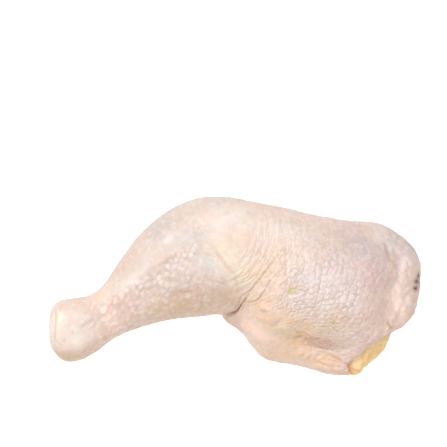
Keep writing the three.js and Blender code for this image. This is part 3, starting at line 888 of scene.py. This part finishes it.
def skin_material():
    """Moist raw skin: its tint painted by place, with painted shade and a painted sheen among its
    tones; mottled rose, lilac and cream; finely netted, with painted shade in the net's creases;
    and pimples whose pale tips are partly their own colour and partly a painted highlight."""
    material, tree = new_material("raw_chicken_skin")
    grain = add_grain(tree, 0.9, 8)
    patches = add_grain(tree, 2.4, 3.2)
    tint = kept_tint(tree)
    quilt = kept(tree, "quilt")
    folds = kept(tree, "folds")
    colour = tinged(tree, tint, [
        ("rose", grain["Mottle"], 0.5, 0.68, 0.5, (236, 202, 192)),
        ("lilac", grain["Mottle"], 0.5, 0.34, 0.4, (232, 214, 216)),
        ("cream", patches["Mottle"], 0.5, 0.72, 0.45, (253, 236, 216)),
    ])
    lozenges = add_net(tree, "thigh_net")
    long_folds = add_net(tree, "knee_net")
    # Painted highlight: a random share of the lozenges paler, as if their tops caught the light.
    pale = product(tree, product(tree, lozenges["Draw"], quilt), 0.5)
    colour = blend_colours(tree, pale, colour, shade(252, 238, 232))
    # Painted shade: darker lines in the creases of the lozenges and of the long folds.
    line = product(tree, ramp(tree, lozenges["Inside"], 0.0, 0.36, 1, 0), quilt)
    fold_line = product(tree, ramp(tree, long_folds["Inside"], 0.0, 0.25, 1, 0), folds)
    broken = ramp(tree, patches["Mottle"], 0.38, 0.58, 1.0, 0.15)
    lines = product(tree, maths(tree, "MAXIMUM", line, fold_line), broken)
    colour = blend_colours(tree, product(tree, lines, 0.7), colour, shade(190, 160, 148))
    where = add(tree, "ShaderNodeTexCoord", {}).outputs["Object"]
    sockets = {"Vector": where, "Scale": 1 / (FINE_NET * MM)}
    fine_net = add(tree, "ShaderNodeTexVoronoi", sockets, feature="DISTANCE_TO_EDGE")
    fine = ramp(tree, fine_net.outputs["Distance"], 0.0, 0.2, 0, 1)
    # Painted shade: the creases of the fine net a little darker.
    dark = product(tree, maths(tree, "SUBTRACT", 1.0, fine), 0.1)
    colour = blend_colours(tree, dark, colour, shade(204, 178, 164))
    # Pale pimple tips: partly their own colour and partly a painted highlight.
    colour = blend_colours(tree, product(tree, kept(tree, "tips"), 0.4), colour, shade(254, 243, 234))
    colour = blend_colours(tree, kept(tree, "stain"), colour, tint)
    height = maths(tree, "ADD", product(tree, fine, 0.2), product(tree, grain["Height"], 0.4))
    for net, end, share in ((lozenges, 0.6, quilt), (long_folds, 0.5, folds)):
        inside = ramp(tree, net["Inside"], 0.0, end, 0, 1)
        height = maths(tree, "ADD", height, product(tree, inside, share))
    finish_tissue(
        tree, colour, grain, rough=(0.42, 0.56), height=height, bump=(0.7, 0.35),
        inside=0.15, reach=(1.0, 0.55, 0.35), depth=0.8, coat=0.16, film=0.24,
    )
    return material


skin.data.materials.clear()
skin.data.materials.append(skin_material())
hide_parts("leg_quarter")
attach(skin, "root")


def give_back(sheet, depth):
    """Closes a sheet with a back so many millimetres under it and a side along its border."""
    sheet.normal_update()
    fronts = list(sheet.verts)
    border = [edge for edge in sheet.edges if edge.is_boundary]
    backs = bmesh.ops.duplicate(sheet, geom=[*sheet.verts, *sheet.edges, *sheet.faces])["vert_map"]
    for front in fronts:
        backs[front].co = front.co - front.normal * depth * MM
    for edge in border:
        start, end = edge.verts
        sheet.faces.new((start, end, backs[end], backs[start]))
    bmesh.ops.recalc_face_normals(sheet, faces=sheet.faces)


def piece_of_skin(name, places, colours, here, backing):
    """A piece made from the part of the skin's mesh that it covers: where its points lie and how far
    its back is under them, both in millimetres, their colours, and which of them it has."""
    piece = bpy.data.objects.new(name, skin.data.copy())
    bpy.context.scene.collection.objects.link(piece)
    put_points(piece.data, places)
    store_tint(piece.data, colours)
    shape = bmesh.new()
    shape.from_mesh(piece.data)
    left_out = [vert for vert in shape.verts if not here[vert.index]]
    bmesh.ops.delete(shape, geom=left_out, context="VERTS")
    give_back(shape, backing)
    shape.to_mesh(piece.data)
    shape.free()
    piece.data.shade_smooth()
    piece.data.materials.clear()
    return piece


# The fat: a pad of soft golden fat that swells from under the skin's edge at the belly, with a round
# lobe at the corner and a long one beside the thigh. It follows the leg's form.
FAT_BACKING = 3.0
FAT_BORDER = -1.3
FAT_REACH = 15
FAT_FACING = -0.72
FAT_ENDS = (0.01, 0.985)
FAT_SUNK = 1.8
FAT_STEP = 1.2
FAT_ROUND = 2.6
FAT_LOW = 1.3
FAT_LUMPS = (0.45, 0.2)
WAIST_AT = (74.5, -43)
WAIST_SLANT = 0.3
WAIST_WIDE = 1.6
WAIST_DEEP = 0.9
in_pad = soft(0.3, 2, beyond_edge)
swell = FAT_STEP * (soft(FAT_BORDER, 0, beyond_edge) + soft(0, FAT_ROUND, beyond_edge)) - FAT_SUNK
lump = in_pad * (FAT_LUMPS[0] * wander(4.5, 13) + FAT_LUMPS[1] * wander(1.8, 14))
waist_gap = x - WAIST_AT[0] + WAIST_SLANT * (y - WAIST_AT[1])
waist = WAIST_DEEP * bell(waist_gap / WAIST_WIDE) * in_pad
swell = swell + lump - waist - FAT_LOW * soft(0.1, -0.6, up)
fat_here = (beyond_edge > FAT_BORDER) & (beyond_edge < FAT_REACH) & (up > FAT_FACING)
fat_here = fat_here & (edge_share > FAT_ENDS[0]) & (edge_share < FAT_ENDS[1])
FAT_BASE = (244, 206, 144)
FAT_TONES = [
    ("corner lobe", oval((70.5, -48.2), 3.4, 3.6), 0.9, (248, 204, 160)),
    ("pale band at the waist", oval((73.5, -41.8), 4.5, 1.5, 35), 0.7, (244, 212, 160)),
    ("amber beside the thigh", oval((79, -40), 4, 2.4, 40), 0.6, (232, 186, 126)),
    # Painted shade: the fat browner where it meets the skin's edge.
    ("painted shade against the skin", bell((beyond_edge - 0.2) / 1.3), 0.35, (206, 158, 104)),
    # Painted shade: the fat browner in the corner notch.
    ("painted shade at the corner", oval((68, -49.3), 2, 3.6), 0.8, (214, 136, 88)),
]
fat_place = place + facing * swell[:, None]
fat = piece_of_skin("belly_fat", fat_place, painted(FAT_BASE, FAT_TONES), fat_here, FAT_BACKING)


def fat_material():
    """Soft golden fat, mottled paler and deeper, with a wet gloss."""
    material, tree = new_material("golden_fat")
    grain = add_grain(tree, 1.1, 4)
    colour = tinged(tree, kept_tint(tree), [
        ("pale", grain["Mottle"], 0.44, 0.66, 0.5, (252, 226, 174)),
        ("deep", grain["Mottle"], 0.48, 0.34, 0.4, (226, 176, 108)),
    ])
    finish_tissue(
        tree, colour, grain, rough=(0.26, 0.4), height=grain["Height"], bump=(0.5, 0.3),
        inside=0.3, reach=(1.0, 0.6, 0.25), depth=1.0, coat=0.4, film=0.15,
    )
    return material


fat.data.materials.append(fat_material())
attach(fat, "root")


# The cut face: the thigh's meat, open on the underside inside the skin's thick edge, its fibres along
# the leg, with silvery membrane over it and some fat at its border.
MEAT_LEVEL = 0.35
MEAT_LOWEST = 0.1
MEAT_BACKING = 1.6
MEAT_START = 0.2
MEAT_FACING = -0.6
BORDER_WIDE = 2.2
BORDER_RISE = 1.2
BUNDLE_RISE = 0.18
BUNDLE_WIDE = 2.1
SEAM_AT = (55, -6)
SEAM_SLANT = 0.16
SEAM_WIDE = 1.6
meat_here = (inside_cut > MEAT_START) & (up < MEAT_FACING)
meat_border = soft(BORDER_WIDE, MEAT_START, inside_cut)
bundle = wander(7, 16) + 0.5 * np.sin(y / BUNDLE_WIDE + 2.2 * wander(14, 17))
meat_level = MEAT_LEVEL + BUNDLE_RISE * bundle * (1 - meat_border) + BORDER_RISE * meat_border
meat_place = np.column_stack([x, y, np.maximum(MEAT_LOWEST, meat_level)])
seam_gap = y - SEAM_AT[1] + SEAM_SLANT * (x - SEAM_AT[0]) + 2.5 * wander(9, 24)
MEAT_BASE = (220, 158, 146)
MEAT_TONES = [
    ("red between the bundles", soft(0.1, -0.5, bundle), 0.6, (196, 116, 104)),
    ("silvery membrane", soft(0.15, 0.55, wander(15, 18)), 0.55, (234, 212, 206)),
    ("fat at the border", soft(5.5, 0.8, inside_cut + 2.5 * wander(5, 19)), 0.85, (243, 222, 178)),
    ("fat seam", bell(seam_gap / SEAM_WIDE), 0.7, (244, 224, 186)),
]
meat = piece_of_skin("cut_meat", meat_place, painted(MEAT_BASE, MEAT_TONES), meat_here, MEAT_BACKING)


def meat_material():
    """Raw dark poultry meat: pink flesh with long fine fibres, moist."""
    material, tree = new_material("raw_meat")
    grain = add_grain(tree, 1.2, 6)
    where = add(tree, "ShaderNodeTexCoord", {}).outputs["Object"]
    drawn_out = add(tree, "ShaderNodeMapping", {"Vector": where, "Scale": (90, 900, 900)}).outputs[0]
    sockets = {"Vector": drawn_out, "Scale": 1.0, "Detail": 3.0}
    fibre = add(tree, "ShaderNodeTexNoise", sockets).outputs["Fac"]
    colour = tinged(tree, kept_tint(tree), [
        ("pale fibres", fibre, 0.5, 0.7, 0.4, (238, 196, 184)),
        ("dark fibres", fibre, 0.5, 0.34, 0.45, (178, 98, 88)),
    ])
    height = maths(tree, "ADD", fibre, product(tree, grain["Height"], 0.3))
    finish_tissue(
        tree, colour, grain, rough=(0.24, 0.4), height=height, bump=(0.6, 0.3),
        inside=0.2, reach=(1.0, 0.4, 0.3), depth=0.8, coat=0.4, film=0.15,
    )
    return material


meat.data.materials.append(meat_material())
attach(meat, "root")


# The joint's end: two pearly knobs of cartilage that the cut through the hock left bare, set in the
# hollow at the end of the drumstick, with a groove between them.
KNOB_AT = Vector((-107.2, -26.6, 12.6))
KNOB_DEEP = 2.9
KNOB_WIDE = 1.02 * END_WIDE
KNOB_TALL = 0.98 * END_TALL
KNOB_GROOVE = 0.42
GROOVE_AT = -0.08
GROOVE_WIDE = 0.2
KNOB_WAVE = 0.35
KNOB_WAVE_SIZE = 3.1


def knob_mould(ball):
    """Flattens the ball into the hollow and presses a groove down its middle."""
    groove = 1 - KNOB_GROOVE * math.exp(-((ball.y - GROOVE_AT) / GROOVE_WIDE) ** 2)
    at = KNOB_AT + Vector((ball.x * KNOB_DEEP * groove, ball.y * KNOB_WIDE, ball.z * KNOB_TALL))
    return at + KNOB_WAVE * noise.noise(at / KNOB_WAVE_SIZE) * ball


ball_shape = bmesh.new()
bmesh.ops.create_uvsphere(ball_shape, u_segments=64, v_segments=48, radius=1.0)
for vert in ball_shape.verts:
    vert.co = knob_mould(vert.co) * MM
bmesh.ops.recalc_face_normals(ball_shape, faces=ball_shape.faces)
knob = piece_from(ball_shape, "knuckle_cartilage")
knob.data.shade_smooth()


def cartilage_material():
    """Wet cartilage: pearly white with a few rosy stains."""
    material, tree = new_material("wet_cartilage")
    grain = add_grain(tree, 1.4, 4)
    colour = tinged(tree, shade(232, 228, 222), [
        ("rosy stains", grain["Mottle"], 0.45, 0.68, 0.8, (224, 176, 164)),
    ])
    finish_tissue(
        tree, colour, grain, rough=(0.2, 0.36), height=grain["Height"], bump=(0.25, 0.2),
        inside=0.25, reach=(0.8, 0.6, 0.5), depth=0.8, coat=0.5, film=0.12,
    )
    return material


knob.data.materials.append(cartilage_material())
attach(knob, "root")


# The table: a wide white sheet that the leg lies on, its sizes in millimetres.
TABLE_HALF = 4000
TABLE_DROP = 0.2
table_shape = bmesh.new()
bmesh.ops.create_circle(table_shape, cap_ends=True, segments=64, radius=TABLE_HALF * MM)
table = piece_from(table_shape, "table")
table.data.transform(Matrix.Translation((0, 0, -TABLE_DROP * MM)))
white, tree = new_material("white_sheet")
camera_ray = add(tree, "ShaderNodeLightPath", {}).outputs["Is Camera Ray"]
paper = add(
    tree,
    "ShaderNodeBsdfPrincipled",
    {
        "Base Color": (0.8, 0.8, 0.8, 1),
        "Roughness": 0.9,
        "Emission Color": (1, 1, 1, 1),
        "Emission Strength": ramp(tree, camera_ray, 0, 1, 0.1, 0.7),
    },
)
finish(tree, paper)
table.data.materials.append(white)


# Plain soft studio light: a white room, brighter overhead, and a large soft box at each side.
SKY_LOW = 0.14
SKY_HIGH = 0.78
scene = bpy.context.scene
scene.view_settings.view_transform = "Standard"
room = bpy.data.worlds.new("white room")
room.use_nodes = True
sky = room.node_tree
where = add(sky, "ShaderNodeTexCoord", {})
parts = add(sky, "ShaderNodeSeparateXYZ", {"Vector": where.outputs["Generated"]})
light_by_height = ramp(sky, parts.outputs["Z"], 0.0, 1.0, SKY_LOW, SKY_HIGH)
sky.links.new(light_by_height, sky.nodes["Background"].inputs["Strength"])
sky.nodes["Background"].inputs["Color"].default_value = (1, 1, 1, 1)
scene.world = room


def soft_box(name, at, size, power):
    """A square area light that faces the leg: its place and size in metres, its power in watts."""
    light = bpy.data.lights.new(name, "AREA")
    light.size = size
    light.energy = power
    lamp = bpy.data.objects.new(name, light)
    lamp.location = at
    lamp.rotation_euler = (-Vector(at)).to_track_quat("-Z", "Y").to_euler()
    scene.collection.objects.link(lamp)


soft_box("key", (-0.85, 0.75, 1.2), 0.4, 15.8)
soft_box("fill", (0.5, -1.0, 1.1), 0.9, 6.9)

# The camera looks straight down from where the picture's 447 pixels show 267 mm of the table.
EYE_AT = (-7.4, 37.4, 1484.1)
camera = bpy.data.cameras.new("camera")
camera.lens = 200
camera.sensor_width = 36
eye = bpy.data.objects.new("camera", camera)
eye.location = [way * MM for way in EYE_AT]
scene.collection.objects.link(eye)
scene.camera = eye
